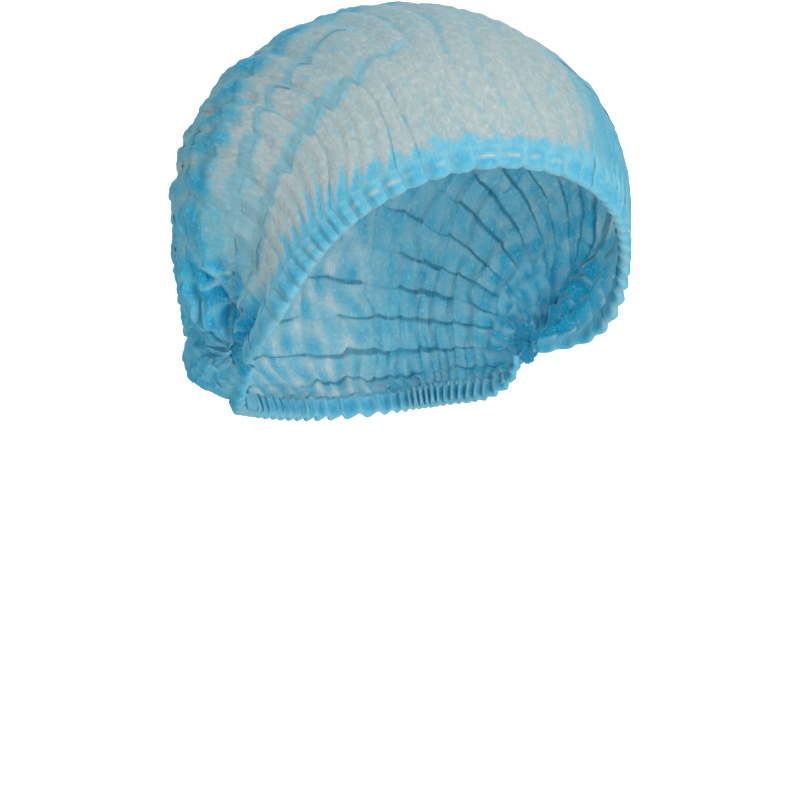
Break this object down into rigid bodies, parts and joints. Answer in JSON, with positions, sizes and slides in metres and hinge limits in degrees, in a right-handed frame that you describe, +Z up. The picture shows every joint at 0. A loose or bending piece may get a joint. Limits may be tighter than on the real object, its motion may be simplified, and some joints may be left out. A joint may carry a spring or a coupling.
{
  "type": "disposable hairnet",
  "caption": "Pleated and ruched nonwoven head cover in its worn shape, gathered at two ends behind the ears, with elasticated scalloped hems.",
  "frame": {"origin": "the top of the wearer's head, inside the crown", "axes": "+Z up out of the head, -Y the way the wearer faces, +X the wearer's left"},
  "size_m": [0.1967, 0.2034, 0.1807],
  "materials": {
    "crown": "thin translucent spunbond nonwoven, matte",
    "hem": "the same nonwoven in several layers, matte",
    "elastic": "white covered elastic, matte",
    "gathered_end": "welded folds of the same nonwoven, matte"
  },
  "bodies": {
    "root": {"crown": "crown", "front_hem": "hem", "rear_hem": "hem", "front_elastic": "elastic", "rear_elastic": "elastic", "gathered_end_right": "gathered_end", "gathered_end_left": "gathered_end"}
  },
  "joints": []
}
